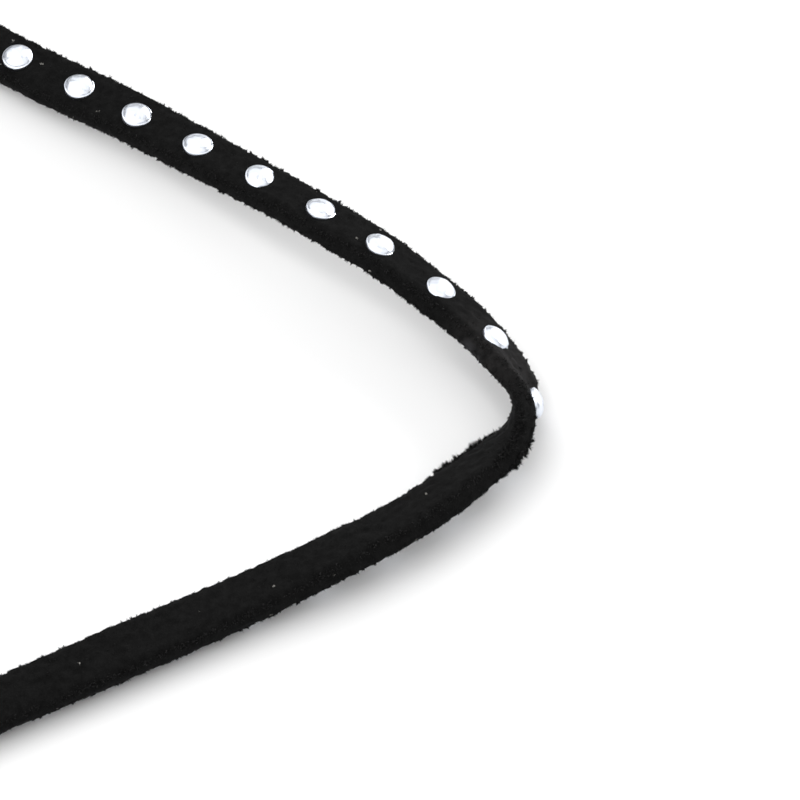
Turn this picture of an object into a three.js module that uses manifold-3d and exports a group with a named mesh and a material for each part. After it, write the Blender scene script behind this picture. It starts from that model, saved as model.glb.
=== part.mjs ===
// Choker necklace: a flat suede strap with a row of domed studs along one face, closed
// by a plain metal clasp. Millimetres, +Z up. It lies on the floor, z = 0, as a long
// loop: the clasp is at x = 0 and the sharp bend at the far end points along +X.

import * as THREE from "three";
import { mergeVertices } from "three/addons/utils/BufferGeometryUtils.js";
import Module from "manifold-3d";

const wasm = await Module();
wasm.setup();

// Loop, measured along the middle of the strap
const loopLength = 138;
const loopWidth = 74;

// Strap
const strapWidth = 3.0;
const strapThickness = 1.2;
const strapChamfer = 0.25;
const strapStep = 1.15;

// Studs: one row along the middle of the strap's face, with its middle stud on the bend
const studDiameter = 1.7;
const studHeight = 0.35;
const studRim = 0.1;
const studGlue = 0.15;
const studPitch = 4.42;
const studCount = 41;
const studSides = 16;
const domeRings = 3;
const bendShare = 0.5045;

// Clasp: one plain metal bar with a socket in each end
const claspLength = 14;
const claspWall = 0.55;
const claspCorner = 0.5;
const socketDepth = 4;
const socketGap = 0.3;
const claspLead = 1.5;

const socketWidth = strapWidth + 2 * socketGap;
const socketHeight = strapThickness + 2 * socketGap;
const claspWidth = socketWidth + 2 * claspWall;
const claspHeight = socketHeight + 2 * claspWall;

// The strap's route from one end of the clasp to the other. along and across are shares
// of the loop's length and width. lift is the clear height under the strap as a share of
// its width, turn is its roll in degrees with 0 for studs up and 180 for studs down, and
// onStuds is 1 where the studs carry the strap.
const route = [
  { along: 0.016, across: 0.200, lift: 0.06, turn: 0, onStuds: 0 },
  { along: 0.072, across: 0.360, lift: 0.02, turn: 0, onStuds: 0 },
  { along: 0.160, across: 0.465, lift: 0.01, turn: 0, onStuds: 0 },
  { along: 0.270, across: 0.500, lift: 0.01, turn: 0, onStuds: 0 },
  { along: 0.400, across: 0.503, lift: 0.01, turn: 0, onStuds: 0 },
  { along: 0.522, across: 0.500, lift: 0.01, turn: 0, onStuds: 0 },
  { along: 0.620, across: 0.486, lift: 0.02, turn: 0, onStuds: 0 },
  { along: 0.682, across: 0.449, lift: 0.04, turn: -2, onStuds: 0 },
  { along: 0.739, across: 0.388, lift: 0.07, turn: -6, onStuds: 0 },
  { along: 0.785, across: 0.322, lift: 0.12, turn: -10, onStuds: 0 },
  { along: 0.832, across: 0.261, lift: 0.32, turn: -6, onStuds: 0 },
  { along: 0.878, across: 0.193, lift: 0.57, turn: 3, onStuds: 0 },
  { along: 0.913, across: 0.141, lift: 0.65, turn: 10, onStuds: 0 },
  { along: 0.942, across: 0.100, lift: 0.57, turn: 16, onStuds: 0 },
  { along: 0.964, across: 0.063, lift: 0.42, turn: 23, onStuds: 0 },
  { along: 0.979, across: 0.036, lift: 0.27, turn: 29, onStuds: 0 },
  { along: 0.991, across: 0.006, lift: 0.15, turn: 38, onStuds: 0 },
  { along: 0.997, across: -0.018, lift: 0.08, turn: 57, onStuds: 0 },
  { along: 0.999, across: -0.041, lift: 0.05, turn: 91, onStuds: 0 },
  { along: 0.997, across: -0.066, lift: 0.10, turn: 123, onStuds: 0 },
  { along: 0.990, across: -0.088, lift: 0.20, turn: 144, onStuds: 0 },
  { along: 0.976, across: -0.118, lift: 0.33, turn: 154, onStuds: 0 },
  { along: 0.954, across: -0.153, lift: 0.32, turn: 160, onStuds: 0 },
  { along: 0.923, across: -0.191, lift: 0.15, turn: 168, onStuds: 1 },
  { along: 0.885, across: -0.229, lift: 0.03, turn: 177, onStuds: 1 },
  { along: 0.840, across: -0.276, lift: 0.01, turn: 187, onStuds: 1 },
  { along: 0.789, across: -0.328, lift: 0.01, turn: 187, onStuds: 1 },
  { along: 0.725, across: -0.391, lift: 0.01, turn: 185, onStuds: 1 },
  { along: 0.655, across: -0.450, lift: 0.02, turn: 180, onStuds: 1 },
  { along: 0.572, across: -0.489, lift: 0.01, turn: 180, onStuds: 1 },
  { along: 0.480, across: -0.502, lift: 0.01, turn: 180, onStuds: 1 },
  { along: 0.375, across: -0.503, lift: 0.03, turn: 180, onStuds: 1 },
  { along: 0.270, across: -0.500, lift: 0.04, turn: 180, onStuds: 0 },
  { along: 0.160, across: -0.465, lift: 0.02, turn: 180, onStuds: 0 },
  { along: 0.072, across: -0.360, lift: 0.02, turn: 180, onStuds: 0 },
  { along: 0.016, across: -0.200, lift: 0.06, turn: 180, onStuds: 0 },
];

const suede = new THREE.MeshStandardMaterial({ color: 0x1b1a1c, roughness: 0.95, metalness: 0 });
const studSilver = new THREE.MeshStandardMaterial({ color: 0xe6e8ec, roughness: 0.18, metalness: 1 });
const claspSteel = new THREE.MeshStandardMaterial({ color: 0xc9ccd1, roughness: 0.3, metalness: 1 });

const radians = THREE.MathUtils.degToRad;
const up = new THREE.Vector3(0, 0, 1);

// The height of the strap's middle above the floor at one row of the route.
function restingHeight({ lift, turn, onStuds }) {
  const flat = (strapThickness / 2) * Math.abs(Math.cos(radians(turn)));
  const onEdge = (strapWidth / 2) * Math.abs(Math.sin(radians(turn)));
  return flat + onEdge + onStuds * (studGlue + studHeight) + lift * strapWidth;
}

// Stations are points on the middle of the strap with the roll that it has there.
function tableStation(row) {
  const centre = new THREE.Vector3(row.along * loopLength, row.across * loopWidth, restingHeight(row));
  return { centre, turn: row.turn };
}

// The strap's two ends run straight into the clasp's sockets.
function claspStations(side, turn) {
  const inside = claspLength / 2 - socketDepth + socketGap;
  const outside = claspLength / 2 + claspLead;
  return [inside, outside].map((reach) => {
    return { centre: new THREE.Vector3(0, side * reach, claspHeight / 2), turn };
  });
}

// The strap's middle line, which also carries the strap's roll along it.
class StrapRoute extends THREE.CatmullRomCurve3 {
  constructor(stations) {
    super(stations.map((station) => station.centre));
    this.turns = new THREE.SplineCurve(stations.map((station, i) => new THREE.Vector2(i, station.turn)));
    this.arcLengthDivisions = 40 * stations.length;
  }

  // The strap's place and directions at a share of its length.
  frameAt(share) {
    const along = this.getTangentAt(share);
    const turn = radians(this.turns.getPoint(this.getUtoTmapping(share)).y);
    const outward = new THREE.Vector3().crossVectors(up, along).normalize();
    const upright = new THREE.Vector3().crossVectors(along, outward);
    const face = upright.multiplyScalar(Math.cos(turn)).addScaledVector(outward, Math.sin(turn));
    const across = new THREE.Vector3().crossVectors(along, face);
    return { centre: this.getPointAt(share), along, face, across };
  }

  computeFrenetFrames(segments) {
    const frames = Array.from({ length: segments + 1 }, (_, i) => this.frameAt(i / segments));
    return {
      tangents: frames.map((frame) => frame.along),
      normals: frames.map((frame) => frame.face),
      binormals: frames.map((frame) => frame.across),
    };
  }
}

// A rectangle with cut corners, its height along x and its width along y.
function chamferedRectangle(height, width, chamfer) {
  const x = height / 2;
  const y = width / 2;
  return new THREE.Shape([
    new THREE.Vector2(x, -y + chamfer),
    new THREE.Vector2(x, y - chamfer),
    new THREE.Vector2(x - chamfer, y),
    new THREE.Vector2(-x + chamfer, y),
    new THREE.Vector2(-x, y - chamfer),
    new THREE.Vector2(-x, -y + chamfer),
    new THREE.Vector2(-x + chamfer, -y),
    new THREE.Vector2(x - chamfer, -y),
  ]);
}

function namedMesh(name, geometry, material) {
  const mesh = new THREE.Mesh(geometry, material);
  mesh.name = name;
  return mesh;
}

function makeStrap(path) {
  const section = chamferedRectangle(strapThickness, strapWidth, strapChamfer);
  const steps = Math.ceil(path.getLength() / strapStep);
  const geometry = new THREE.ExtrudeGeometry(section, { steps, extrudePath: path });
  return namedMesh("strap", geometry, suede);
}

// A stud stands on z = 0 with its dome up: a short upright rim under a shallow cap.
function studGeometry() {
  const radius = studDiameter / 2;
  const dome = studHeight - studRim;
  const profile = [new THREE.Vector2(0, 0), new THREE.Vector2(radius, 0)];
  for (let ring = 0; ring <= domeRings; ring += 1) {
    const angle = (ring / domeRings) * (Math.PI / 2);
    const reach = ring === domeRings ? 0 : radius * Math.cos(angle);
    profile.push(new THREE.Vector2(reach, studRim + dome * Math.sin(angle)));
  }
  return new THREE.LatheGeometry(profile, studSides).rotateX(Math.PI / 2);
}

function makeStuds(path) {
  const geometry = studGeometry();
  const length = path.getLength();
  const studs = [];
  for (let i = 0; i < studCount; i += 1) {
    const distance = bendShare * length + (i - (studCount - 1) / 2) * studPitch;
    const { centre, along, face, across } = path.frameAt(distance / length);
    const stud = namedMesh(`stud_${String(i + 1).padStart(2, "0")}`, geometry, studSilver);
    stud.quaternion.setFromRotationMatrix(new THREE.Matrix4().makeBasis(along, across.negate(), face));
    stud.position.copy(centre).addScaledVector(face, strapThickness / 2 + studGlue);
    studs.push(stud);
  }
  return studs;
}

function toSolid(geometry) {
  const bare = geometry.clone();
  bare.deleteAttribute("normal");
  bare.deleteAttribute("uv");
  const merged = mergeVertices(bare);
  const vertProperties = new Float32Array(merged.attributes.position.array);
  const triVerts = new Uint32Array(merged.index.array);
  return new wasm.Manifold(new wasm.Mesh({ numProp: 3, vertProperties, triVerts }));
}

function toGeometry(solid) {
  const { vertProperties, triVerts } = solid.getMesh();
  const geometry = new THREE.BufferGeometry();
  geometry.setAttribute("position", new THREE.BufferAttribute(vertProperties, 3));
  geometry.setIndex(new THREE.BufferAttribute(triVerts, 1));
  geometry.computeVertexNormals();
  return geometry;
}

// The clasp lies along Y with its flat side on the floor.
function makeClasp() {
  const outline = chamferedRectangle(claspWidth, claspHeight, claspCorner);
  const bar = new THREE.ExtrudeGeometry(outline, { depth: claspLength, bevelEnabled: false });
  bar.rotateX(Math.PI / 2).translate(0, claspLength / 2, claspHeight / 2);
  let solid = toSolid(bar);
  for (const side of [-1, 1]) {
    const socket = new THREE.BoxGeometry(socketWidth, 2 * socketDepth, socketHeight);
    socket.translate(0, (side * claspLength) / 2, claspHeight / 2);
    solid = solid.subtract(toSolid(socket));
  }
  return namedMesh("clasp", toGeometry(solid), claspSteel);
}

const path = new StrapRoute([
  ...claspStations(1, 0),
  ...route.map(tableStation),
  ...claspStations(-1, 180).reverse(),
]);

const choker = new THREE.Group();
choker.name = "choker_necklace";
choker.add(makeStrap(path), ...makeStuds(path), makeClasp());

// The origin is under the middle of the loop, on the floor.
const extent = new THREE.Box3().setFromObject(choker, true);
const middle = extent.getCenter(new THREE.Vector3());
choker.position.set(-middle.x, -middle.y, -extent.min.z);

export default choker;
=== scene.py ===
import math

import bmesh
import bpy
import numpy as np
from mathutils import Matrix, Vector, noise
from mathutils.bvhtree import BVHTree


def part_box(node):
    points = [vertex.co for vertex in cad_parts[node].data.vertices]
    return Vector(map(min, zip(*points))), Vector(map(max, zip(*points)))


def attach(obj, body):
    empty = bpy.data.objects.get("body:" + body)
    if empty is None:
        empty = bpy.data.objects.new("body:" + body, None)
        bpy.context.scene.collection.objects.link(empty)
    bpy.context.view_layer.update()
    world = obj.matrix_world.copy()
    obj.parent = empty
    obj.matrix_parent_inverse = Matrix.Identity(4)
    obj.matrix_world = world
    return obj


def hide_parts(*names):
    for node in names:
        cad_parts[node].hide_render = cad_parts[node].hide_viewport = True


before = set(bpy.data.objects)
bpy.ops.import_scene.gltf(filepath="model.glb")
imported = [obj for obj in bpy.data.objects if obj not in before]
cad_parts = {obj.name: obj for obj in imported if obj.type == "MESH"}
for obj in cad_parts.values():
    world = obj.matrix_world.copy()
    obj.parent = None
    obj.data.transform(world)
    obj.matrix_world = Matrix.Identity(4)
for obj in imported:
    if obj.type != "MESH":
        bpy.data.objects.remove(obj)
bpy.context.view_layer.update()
scene = bpy.context.scene
MM = 0.001

# Camera: a close view of the sharp end of the loop, from 50 degrees above the table.
# The strap's two strands run out of the left side of the picture.
clasp_low, clasp_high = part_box("clasp")
loop_start = (clasp_low + clasp_high) / 2
VIEW_CENTRE = Vector((loop_start.x + 131.0 * MM, loop_start.y - 1.1 * MM, 0))
VIEW_HEIGHT_DEG = 50
VIEW_DISTANCE = 500 * MM
VIEW_WIDTH = 45.74 * MM

camera = bpy.data.objects.new("camera", bpy.data.cameras.new("camera"))
scene.collection.objects.link(camera)
rise = math.radians(VIEW_HEIGHT_DEG)
camera.location = VIEW_CENTRE + VIEW_DISTANCE * Vector((0, -math.cos(rise), math.sin(rise)))
camera.rotation_euler = (math.radians(90 - VIEW_HEIGHT_DEG), 0, 0)
camera.data.sensor_width = 36
camera.data.lens = camera.data.sensor_width * VIEW_DISTANCE / VIEW_WIDTH
camera.data.clip_start = 0.01
scene.camera = camera
scene.view_settings.view_transform = "Standard"


# Table: a plain white surface, lit softly from above and behind, so that the strap's
# shadow falls a little towards the camera and fades fast.
def srgb(code):
    """A hex colour such as "1b1a1c" as linear red, green, blue and alpha."""
    parts = [int(code[i:i + 2], 16) / 255 for i in (0, 2, 4)]
    return [p / 12.92 if p <= 0.04045 else ((p + 0.055) / 1.055) ** 2.4 for p in parts] + [1.0]


def new_material(name):
    """A material with a Principled shader, and that shader."""
    material = bpy.data.materials.new(name)
    material.use_nodes = True
    return material, material.node_tree.nodes["Principled BSDF"]


def finish_piece(mesh_maker, name, material):
    """A bmesh as a named object at the origin, with its material and smooth faces."""
    mesh = bpy.data.meshes.new(name)
    mesh_maker.to_mesh(mesh)
    mesh_maker.free()
    mesh.materials.append(material)
    for polygon in mesh.polygons:
        polygon.use_smooth = True
    piece = bpy.data.objects.new(name, mesh)
    scene.collection.objects.link(piece)
    return piece


TABLE_SIZE = 3.0
table_white, shader = new_material("matt_white_table")
shader.inputs["Base Color"].default_value = srgb("f4f4f4")
shader.inputs["Roughness"].default_value = 0.9
shader.inputs["Specular IOR Level"].default_value = 0.1

maker = bmesh.new()
bmesh.ops.create_grid(maker, x_segments=1, y_segments=1, size=TABLE_SIZE / 2)
table = finish_piece(maker, "table", table_white)


def soft_light(name, heading_deg, height_deg, distance, width, height, power):
    """A lamp of that size in metres, seen from the strap at that heading from +X."""
    lamp = bpy.data.objects.new(name, bpy.data.lights.new(name, "AREA"))
    lamp.data.shape = "RECTANGLE"
    lamp.data.size = width
    lamp.data.size_y = height
    lamp.data.energy = power
    heading, up = math.radians(heading_deg), math.radians(height_deg)
    away = Vector((math.cos(heading), math.sin(heading), math.tan(up))).normalized()
    lamp.location = VIEW_CENTRE + distance * away
    lamp.rotation_euler = (-away).to_track_quat("-Z", "Y").to_euler()
    scene.collection.objects.link(lamp)
    return lamp


# Each lamp's heading and height in degrees, its distance and size in metres, its watts.
soft_light("overhead_light", 208, 54, 0.7, 1.3, 1.3, 6.2)
soft_light("back_light", 90, 50, 0.8, 1.4, 1.0, 3.8)
soft_light("low_back_light", 38, 17, 0.9, 1.0, 0.45, 7.6)

# A white card at the front right, there for the studs to reflect: it lights nothing matt.
card = soft_light("front_card", 300, 50, 0.8, 1.3, 1.0, 3.4)
card.visible_diffuse = False
world = bpy.data.worlds.new("studio")
world.use_nodes = True
world.node_tree.nodes["Background"].inputs["Color"].default_value = srgb("ffffff")
world.node_tree.nodes["Background"].inputs["Strength"].default_value = 0.36
scene.world = world


# Strap: a flat lace of black faux suede, cut from a sheet, so that its two faces and its
# cut edges all have a short raised nap with loose tufts of fibre along the corners.
def add_node(material, kind, settings=None, inputs=None):
    """A node with its settings, and its inputs as values or as sockets to link from."""
    node = material.node_tree.nodes.new(kind)
    for key, value in (settings or {}).items():
        setattr(node, key, value)
    for key, value in (inputs or {}).items():
        if isinstance(value, bpy.types.NodeSocket):
            material.node_tree.links.new(value, node.inputs[key])
        else:
            node.inputs[key].default_value = value
    return node


MERGE_WITHIN = 0.001 * MM
JOIN_ANY_ANGLE = 3.1
ACROSS_THE_FACE = 1.6 * MM
CUTS_ACROSS = 3
NAP_LUMP = 0.32 * MM
NAP_LUMP_RELIEF = 0.26 * MM
NAP_OVER_TABLE = 0.12 * MM

# Patches of nap that lie one way, and its grain. The real fibres are 0.02 mm thick, which is
# too fine to show, so the grain is drawn as tufts of them.
NAP_MOTTLE = 0.45 * MM
NAP_GRAIN = 0.09 * MM
NAP_RELIEF = 0.05 * MM

# Where the nap stands thicker or thinner: a place in mm, how far it reaches, the side of
# the strap that it is on, and how much it adds there. It fades out over three reaches.
PAD_ENDS = 3
NAP_PADS = [
    (56.0, 12.0, 2.0, 14.0, (0.0, 0.4, 1.0), 0.17),
    (42.0, 21.0, 0.8, 5.0, (0.0, 0.8, 1.0), 0.14),
    (42.0, 20.0, 0.6, 4.0, (0.0, -1.0, 0.0), 0.22),
    (66.5, 2.5, 2.5, 3.0, (0.4, 0.4, 1.0), 0.12),
    (70.3, -0.9, 1.2, 0.8, (1.0, 0.1, 0.0), 0.65),
    (69.0, -2.4, 1.5, 1.1, (-1.0, 0.0, 0.0), -0.28),
    (69.6, -6.2, 1.2, 1.8, (1.0, -0.4, 0.0), 0.20),
    (67.0, -8.0, 0.8, 2.5, (0.6, -1.0, 0.0), 0.16),
    (64.4, -10.4, 0.8, 3.5, (0.1, -1.0, -0.2), 0.42),
    (60.5, -13.6, 0.5, 2.5, (0.0, -1.0, -0.1), 0.18),
    (55.3, 11.7, 1.6, 4.0, (0.0, -1.0, -0.3), -0.16),
    (50.0, -18.0, 1.0, 16.0, (0.0, 0.3, 1.0), 0.30),
]

# Painted light at the bend: the face and the inner wall there are painted lighter, in streaks,
# standing in for the sheen that they catch edge on and the light that the white table throws up.
# A place in mm, how far the painted light is whole, where it ends, and its colour.
PAINTED_LIGHT_STREAK = 0.5 * MM
PAINTED_LIGHT_PLACES = [
    ((67.6, -0.3, 1.5), 1.6, 4.2, "232222"),
    ((67.2, 0.9, 0.7), 1.1, 2.3, "4c4c50"),
]


def painted_light_at_bend(material, colour):
    """That colour, or colour socket, with painted light mixed in: lighter in streaks round the
    bend.
    """
    place = add_node(material, "ShaderNodeTexCoord").outputs["Object"]
    streaks = add_node(material, "ShaderNodeTexNoise", inputs={
        "Vector": place, "Scale": 1 / PAINTED_LIGHT_STREAK, "Detail": 3.0})
    uneven = add_node(material, "ShaderNodeMapRange", inputs={
        "Value": streaks.outputs["Fac"], "From Min": 0.25, "From Max": 0.55})
    for middle, fully, ends, painted_light_colour in PAINTED_LIGHT_PLACES:
        away = add_node(material, "ShaderNodeVectorMath", {"operation": "DISTANCE"}, {
            0: place, 1: Vector(middle) * MM})
        share = add_node(material, "ShaderNodeMapRange", inputs={
            "Value": away.outputs["Value"], "From Min": fully * MM, "From Max": ends * MM,
            "To Min": 1, "To Max": 0})
        both = add_node(material, "ShaderNodeMath", {"operation": "MULTIPLY"}, {
            0: share.outputs["Result"], 1: uneven.outputs["Result"]})
        mix = add_node(material, "ShaderNodeMix", {"data_type": "RGBA"}, {
            0: both.outputs["Value"], 6: colour, 7: srgb(painted_light_colour)})
        colour = mix.outputs[2]
    return colour


# Black faux suede, a brushed microfibre: deep matt black that a faint sheen lifts where it
# is seen edge on, mottled where the nap lies one way or the other.
suede, shader = new_material("black_faux_suede")
place = add_node(suede, "ShaderNodeTexCoord").outputs["Object"]
mottle = add_node(suede, "ShaderNodeTexNoise", inputs={
    "Vector": place, "Scale": 1 / NAP_MOTTLE, "Detail": 4.0})
grain = add_node(suede, "ShaderNodeTexNoise", inputs={
    "Vector": place, "Scale": 1 / NAP_GRAIN, "Detail": 3.0})
both = add_node(suede, "ShaderNodeMix", {"data_type": "FLOAT"}, {
    "Factor": 0.5, "A": mottle.outputs["Fac"], "B": grain.outputs["Fac"]})
tone = add_node(suede, "ShaderNodeValToRGB", inputs={"Fac": both.outputs["Result"]})
tone.color_ramp.elements[0].position = 0.38
tone.color_ramp.elements[0].color = srgb("0c0c0c")
tone.color_ramp.elements[1].position = 0.66
tone.color_ramp.elements[1].color = srgb("181818")
bump = add_node(suede, "ShaderNodeBump", inputs={
    "Height": both.outputs["Result"], "Distance": NAP_RELIEF, "Strength": 0.9})
# The suede's colour gets the painted light at the bend mixed in.
suede_with_painted_light = painted_light_at_bend(suede, tone.outputs["Color"])
suede.node_tree.links.new(suede_with_painted_light, shader.inputs["Base Color"])
suede.node_tree.links.new(bump.outputs["Normal"], shader.inputs["Normal"])
shader.inputs["Roughness"].default_value = 0.95
shader.inputs["Specular IOR Level"].default_value = 0.05
shader.inputs["Sheen Weight"].default_value = 0.10
shader.inputs["Sheen Roughness"].default_value = 0.3
shader.inputs["Sheen Tint"].default_value = srgb("b8b8bc")

# The strap's own triangles are kept for the nap fibres. Joined in pairs they make bands
# along it, and the bands of its two faces are cut finer for the pads.
maker = bmesh.new()
maker.from_mesh(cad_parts["strap"].data)
bmesh.ops.remove_doubles(maker, verts=maker.verts, dist=MERGE_WITHIN)
bmesh.ops.recalc_face_normals(maker, faces=maker.faces)
triangles = np.array([[v.co for v in f.verts] for f in maker.faces])
bmesh.ops.join_triangles(maker, faces=maker.faces, angle_face_threshold=JOIN_ANY_ANGLE,
                         angle_shape_threshold=JOIN_ANY_ANGLE)
wide = [e for e in maker.edges if e.calc_length() > ACROSS_THE_FACE]
bmesh.ops.subdivide_edges(maker, edges=wide, cuts=CUTS_ACROSS, use_grid_fill=True)
maker.normal_update()
for x, y, z, reach, side, thickness in NAP_PADS:
    side = Vector(side).normalized()
    for vert in maker.verts:
        facing = vert.normal.dot(side)
        away = (vert.co - Vector((x, y, z)) * MM).length / (reach * MM)
        if facing > 0 and away < PAD_ENDS:
            vert.co += side * thickness * MM * facing * math.exp(-away * away)
for vert in maker.verts:
    vert.co.z = max(vert.co.z, NAP_OVER_TABLE)
strap = finish_piece(maker, "suede_strap", suede)
smooth = strap.modifiers.new("rounded_corners", "SUBSURF")
smooth.levels = smooth.render_levels = 2
lumps = bpy.data.textures.new("nap_lumps", "CLOUDS")
lumps.noise_scale = NAP_LUMP
uneven = strap.modifiers.new("uneven_nap", "DISPLACE")
uneven.texture = lumps
uneven.texture_coords = "LOCAL"
uneven.strength = NAP_LUMP_RELIEF

# The nap is pressed nearly flat under each stud, and stands up again outside its rim.
PRESSED_REACH = 1.15 * MM
PRESSED_SHARE = 0.1
loose_nap = strap.vertex_groups.new(name="loose_nap")
stud_middles = [sum(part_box(n), Vector()) / 2 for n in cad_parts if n.startswith("stud_")]
for vert in strap.data.vertices:
    away = min((vert.co - middle).length for middle in stud_middles)
    loose_nap.add([vert.index], PRESSED_SHARE if away < PRESSED_REACH else 1, "REPLACE")
uneven.vertex_group = "loose_nap"
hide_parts("strap")
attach(strap, "root")

# Nap fibres: loose ends of the suede's own black microfibre, which stand in small tufts out
# of its corners, cut edges and faces. Handling has frayed one corner after the bend.
NAP_CLUMP = 0.15 * MM
TUFT_SPREAD = 0.04 * MM
FIBRE_ROOT_DEPTH = 0.03 * MM

# How uneven the nap is: the clumps' lengths as shares of the usual one, how far the fibres
# of a tuft spread apart, and their own lengths as shares of their clump's.
CLUMPING = 2.0
LONGEST_CLUMP = 1.5
CLUMP_SCATTER = 0.15
FIBRE_SCATTER = 0.35
SHORTEST_FIBRE = 0.6
LONGEST_FIBRE = 1.1

# A fibre's faces, by its three feet and its tip, and how its feet stand round its middle.
SPIKE_FACES = [(0, 1, 3), (1, 2, 3), (2, 0, 3), (2, 1, 0)]
THIRD_OF_A_TURN = (-1 / 2, 0.87)

# Fibres lower than this are pressed by the table, at most down to this share of their length.
FIBRE_FREE_HEIGHT = 0.9 * MM
FIBRE_PRESSED = 0.2
FIBRE_OVER_TABLE = 0.01 * MM

# Loose fibre ends are thin and catch a little more light than the nap that they come from.
fibre_black, shader = new_material("suede_fibre")
# The fibres' colour gets the same painted light at the bend.
fibre_with_painted_light = painted_light_at_bend(fibre_black, srgb("141414"))
fibre_black.node_tree.links.new(fibre_with_painted_light, shader.inputs["Base Color"])
shader.inputs["Roughness"].default_value = 0.9
shader.inputs["Specular IOR Level"].default_value = 0.05
shader.inputs["Sheen Weight"].default_value = 0.07

# A few undyed fibre ends show as pale flecks.
fibre_pale, shader = new_material("pale_fibre_end")
shader.inputs["Base Color"].default_value = srgb("b4b2ac")
shader.inputs["Roughness"].default_value = 0.8

# The strap's triangles lie in strips along it: the narrow ones make its rounded corners,
# the middling ones its cut edges and the wide ones its faces.
NARROW_STRIP = 0.45 * MM
WIDE_STRIP = 0.80 * MM
FRAYED_PLACE = np.array((67.0, -5.8, 2.0)) * MM
FRAYED_REACH = 3.2 * MM
sides = np.roll(triangles, -1, axis=1) - triangles
area = np.linalg.norm(np.cross(sides[:, 0], sides[:, 1]), axis=1) / 2
strip_width = 2 * area / np.linalg.norm(sides, axis=2).max(1)
on_corners = strip_width < NARROW_STRIP
on_faces = strip_width > WIDE_STRIP
on_edges = ~on_corners & ~on_faces
from_frayed = np.linalg.norm(triangles.mean(1) - FRAYED_PLACE, axis=1)
on_frayed = on_corners & (from_frayed < FRAYED_REACH)
nap_surface = BVHTree.FromObject(strap, bpy.context.evaluated_depsgraph_get())


def nap_fibres(name, strips, tufts_per_mm2, fibres, length, width, lean, material, seed):
    """Tufts of that many fibre ends rooted on the chosen strips of the strap.

    Each is a closed spike with three sides. No mesh operator scatters so many, so their
    corners are worked out here.
    """
    rng = np.random.default_rng(seed)
    share = area * strips
    tufts = int(share.sum() / MM ** 2 * tufts_per_mm2)
    chosen = rng.choice(len(area), tufts, p=share / share.sum())
    mix = rng.dirichlet((1, 1, 1), tufts)
    picked = np.einsum("ij,ijk->ik", mix, triangles[chosen])
    hits = [nap_surface.find_nearest(root) for root in picked]
    roots, normals = np.array([h[0] for h in hits]), np.array([h[1] for h in hits])
    ways = normals + lean * rng.normal(size=(tufts, 3))

    clumps = np.array([noise.noise(Vector(root) / NAP_CLUMP) for root in roots])
    reach = length * MM * np.exp(CLUMPING * clumps).clip(max=LONGEST_CLUMP)
    reach *= rng.lognormal(0, CLUMP_SCATTER, tufts)
    reach *= (roots[:, 2] / FIBRE_FREE_HEIGHT).clip(FIBRE_PRESSED, 1)

    spread = TUFT_SPREAD * rng.normal(size=(tufts * fibres, 3))
    normals = np.repeat(normals, fibres, 0)
    roots = np.repeat(roots, fibres, 0) + spread - normals * (spread * normals).sum(1)[:, None]
    ways = np.repeat(ways, fibres, 0) + FIBRE_SCATTER * rng.normal(size=roots.shape)
    ways /= np.linalg.norm(ways, axis=1)[:, None]
    reach = np.repeat(reach, fibres) * rng.uniform(SHORTEST_FIBRE, LONGEST_FIBRE, len(roots))

    along = np.cross(ways, rng.normal(size=roots.shape))
    along *= width * MM / 2 / np.linalg.norm(along, axis=1)[:, None]
    aside = np.cross(ways, along)
    roots -= normals * FIBRE_ROOT_DEPTH
    back, out = THIRD_OF_A_TURN
    feet = [roots + along, roots + back * along + out * aside, roots + back * along - out * aside]
    tips = roots + ways * (reach + FIBRE_ROOT_DEPTH)[:, None]
    points = np.stack([*feet, tips], 1).reshape(-1, 3)
    points[:, 2] = points[:, 2].clip(min=FIBRE_OVER_TABLE)
    faces = np.arange(0, len(points), 4)[:, None, None] + np.array(SPIKE_FACES)
    mesh = bpy.data.meshes.new(name)
    mesh.from_pydata(points.tolist(), [], faces.reshape(-1, 3).tolist())
    mesh.materials.append(material)
    piece = bpy.data.objects.new(name, mesh)
    scene.collection.objects.link(piece)
    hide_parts("strap")
    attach(piece, "root")


# Each kind of fibre: where it grows, its tufts per square mm and the fibres in each, a
# fibre's length and width in mm, how much it leans, its material and its random seed.
nap_fibres("corner_lumps", on_corners, 25, 4, 0.11, 0.12, 0.5, fibre_black, 10)
nap_fibres("corner_tufts", on_corners, 25, 4, 0.12, 0.06, 0.5, fibre_black, 11)
nap_fibres("edge_nap", on_edges, 14, 4, 0.06, 0.06, 0.6, fibre_black, 12)
nap_fibres("face_nap", on_faces, 5, 4, 0.08, 0.055, 0.9, fibre_black, 13)
nap_fibres("frayed_corner", on_frayed, 80, 12, 0.26, 0.08, 0.7, fibre_black, 14)
nap_fibres("pale_flecks", on_faces | on_edges, 0.09, 7, 0.08, 0.05, 0.6, fibre_pale, 15)

# Studs: small domes stamped from aluminium, polished and glued on, each with a thin rim
# round its foot, which is sunk in the nap. The stamping leaves the domes a little uneven.
STUD_SIDES = 48
STUD_LIFT = 0.10 * MM
SAME_POINT_DIGITS = 7

# The stamping's dents: their usual depth, the least and the most of it that a stud has, and
# how far apart they are. Each stud's dents come from another place in one noise.
DENT = 0.06 * MM
SHALLOWEST_DENT = 0.3
DEEPEST_DENT = 1.5
DENT_SPACING = 0.3 * MM
FAR_IN_NOISE = 50
DENT_SEED = 5

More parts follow.
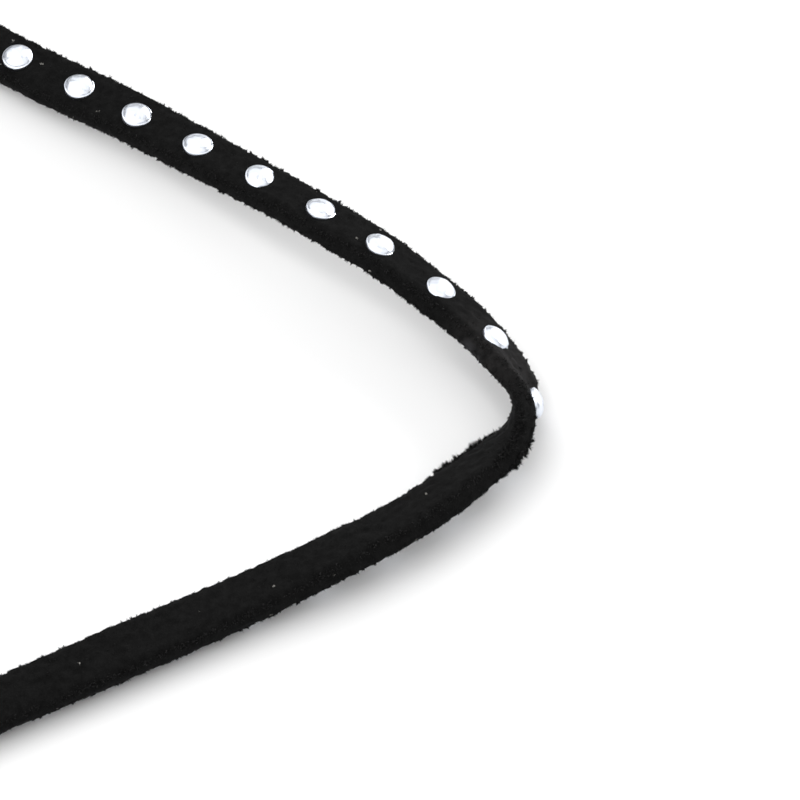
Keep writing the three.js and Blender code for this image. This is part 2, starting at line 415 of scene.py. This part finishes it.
# Studs that are glued on askew: how far off their places in mm, and the direction that they
# lean to. Each turns most of that way from straight out of the strap.
LEANS_BY = 0.85
STUDS_ASKEW = {
    "stud_12": ((-0.09, 0.07, 0.00), (-0.02, -0.07, 1.00)),
    "stud_13": ((-0.03, -0.02, 0.00), (0.08, 0.00, 1.00)),
    "stud_14": ((-0.19, -0.01, 0.00), (0.15, 0.03, 0.99)),
    "stud_15": ((-0.07, 0.00, 0.00), (0.12, 0.10, 0.99)),
    "stud_16": ((0.11, -0.13, 0.00), (0.24, -0.04, 0.97)),
    "stud_17": ((0.12, -0.10, 0.00), (0.28, 0.20, 0.95)),
    "stud_18": ((-0.06, -0.11, 0.00), (0.38, 0.16, 0.92)),
    "stud_19": ((0.02, -0.23, 0.02), (0.43, 0.11, 0.91)),
    "stud_20": ((0.03, -0.36, 0.04), (0.66, 0.11, 0.77)),
    "stud_21": ((0.14, -0.30, -0.08), None),
}

# Polished aluminium, stamped: bright and cool white, with soft smudges of reflection where
# the stamping has left shallow waves.
STAMPED_WAVE = 0.7 * MM
STAMPED_RELIEF = 0.03 * MM
stud_metal, shader = new_material("polished_aluminium")
shader.inputs["Base Color"].default_value = srgb("e4e9f2")
shader.inputs["Metallic"].default_value = 1.0
shader.inputs["Roughness"].default_value = 0.28
place = add_node(stud_metal, "ShaderNodeTexCoord").outputs["Object"]
waves = add_node(stud_metal, "ShaderNodeTexNoise", inputs={
    "Vector": place, "Scale": 1 / STAMPED_WAVE, "Detail": 2.0})
bump = add_node(stud_metal, "ShaderNodeBump", inputs={
    "Height": waves.outputs["Fac"], "Distance": STAMPED_RELIEF, "Strength": 0.2})
stud_metal.node_tree.links.new(bump.outputs["Normal"], shader.inputs["Normal"])

# Half of a stud's section, from the inside of its foot over the rim to the top of its
# dome: how far out as a share of its radius, and how high as a share of its height.
STUD_PROFILE = [
    (0.90, -1.00),
    (1.04, -0.85),
    (1.055, -0.02),
    (1.03, 0.04),
    (0.98, 0.03),
    (0.96, 0.16),
    (0.86, 0.42),
    (0.68, 0.68),
    (0.42, 0.88),
    (0.18, 0.98),
    (0.0, 1.0),
]


def stud_frame(node):
    """A stud's base centre, its axis out of the strap, its radius and its height."""
    points = np.array([v.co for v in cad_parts[node].data.vertices])
    points = np.unique(points.round(SAME_POINT_DIGITS), axis=0)
    middle = points.mean(0)
    axis = np.linalg.svd(points - middle)[2][2]
    heights = (points - middle) @ axis
    if heights.max() < -heights.min():
        axis, heights = -axis, -heights
    radius = np.linalg.norm(points - middle - heights[:, None] * axis, axis=1).max()
    return Vector(middle + heights.min() * axis), Vector(axis), radius, np.ptp(heights)


rng = np.random.default_rng(DENT_SEED)
for node in sorted(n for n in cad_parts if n.startswith("stud_")):
    base, axis, radius, height = stud_frame(node)
    maker = bmesh.new()
    rim = [maker.verts.new((out * radius, 0, up * height)) for out, up in STUD_PROFILE]
    profile = [maker.edges.new(pair) for pair in zip(rim, rim[1:])]
    bmesh.ops.spin(maker, geom=rim + profile, cent=(0, 0, 0), axis=(0, 0, 1), steps=STUD_SIDES,
                   angle=2 * math.pi, use_merge=True)
    bmesh.ops.remove_doubles(maker, verts=maker.verts, dist=MERGE_WITHIN)
    bmesh.ops.holes_fill(maker, edges=[e for e in maker.edges if e.is_boundary])
    bmesh.ops.recalc_face_normals(maker, faces=maker.faces)
    off_place, facing = STUDS_ASKEW.get(node, ((0, 0, 0), None))
    axis = axis.lerp(Vector(facing), LEANS_BY).normalized() if facing else axis
    turn = axis.to_track_quat("Z", "Y").to_matrix().to_4x4()
    dent = rng.uniform(SHALLOWEST_DENT, DEEPEST_DENT) * DENT
    dent_place = Vector(rng.uniform(-FAR_IN_NOISE, FAR_IN_NOISE, 3))

    # The dents are whole halfway out, and they leave the top and the rim even.
    for vert in maker.verts:
        out = math.hypot(vert.co.x, vert.co.y) / radius
        on_dome = max(0, out * (1 - out)) * 4
        vert.co.z += dent * on_dome * noise.noise(vert.co / DENT_SPACING + dent_place)
    spin = Matrix.Rotation(rng.uniform(0, 2 * math.pi), 4, "Z")
    base += Vector(off_place) * MM + STUD_LIFT * axis
    bmesh.ops.transform(maker, matrix=Matrix.Translation(base) @ turn @ spin, verts=maker.verts)
    under_table = min(vert.co.z for vert in maker.verts)
    bmesh.ops.translate(maker, vec=(0, 0, max(0, -under_table)), verts=maker.verts)
    stud = finish_piece(maker, f"polished_{node}", stud_metal)
    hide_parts(node)
    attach(stud, "root")

# Clasp: one plain bar of brushed steel, folded round both ends of the strap. Its edges
# are broken by tumbling, and its grain runs along the bar.
CLASP_EDGE = 0.12 * MM
FLAT_WITHIN_DEG = 2
SHARP_FROM_DEG = 30

# Brushed steel: a soft grey shine that is drawn out along the bar. The real brush lines are
# 0.03 mm apart, and are drawn coarser so that they show.
GRAIN_WIDTH = 0.12 * MM
GRAIN_STRETCH = 0.05
GRAIN_RELIEF = 0.01 * MM
clasp_metal, shader = new_material("brushed_steel")
shader.inputs["Base Color"].default_value = srgb("9a9da2")
shader.inputs["Metallic"].default_value = 1.0
place = add_node(clasp_metal, "ShaderNodeTexCoord").outputs["Object"]
drawn = add_node(clasp_metal, "ShaderNodeVectorMath", {"operation": "MULTIPLY"}, {
    0: place, 1: (1, GRAIN_STRETCH, 1)})
grain = add_node(clasp_metal, "ShaderNodeTexNoise", inputs={
    "Vector": drawn.outputs["Vector"], "Scale": 1 / GRAIN_WIDTH, "Detail": 3.0})
rough = add_node(clasp_metal, "ShaderNodeMapRange", inputs={
    "Value": grain.outputs["Fac"], "To Min": 0.26, "To Max": 0.46})
bump = add_node(clasp_metal, "ShaderNodeBump", inputs={
    "Height": grain.outputs["Fac"], "Distance": GRAIN_RELIEF, "Strength": 0.5})
clasp_metal.node_tree.links.new(rough.outputs["Result"], shader.inputs["Roughness"])
clasp_metal.node_tree.links.new(bump.outputs["Normal"], shader.inputs["Normal"])

maker = bmesh.new()
maker.from_mesh(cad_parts["clasp"].data)
bmesh.ops.remove_doubles(maker, verts=maker.verts, dist=MERGE_WITHIN)
bmesh.ops.dissolve_limit(maker, angle_limit=math.radians(FLAT_WITHIN_DEG), verts=maker.verts,
                         edges=maker.edges)
sharp = [e for e in maker.edges if e.calc_face_angle(0) > math.radians(SHARP_FROM_DEG)]
bmesh.ops.bevel(maker, geom=sharp, offset=CLASP_EDGE, segments=3, affect="EDGES",
                profile=0.5, material=-1)
bmesh.ops.recalc_face_normals(maker, faces=maker.faces)
clasp = finish_piece(maker, "clasp_bar", clasp_metal)
clasp.modifiers.new("flat_sides", "WEIGHTED_NORMAL")
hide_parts("clasp")
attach(clasp, "root")
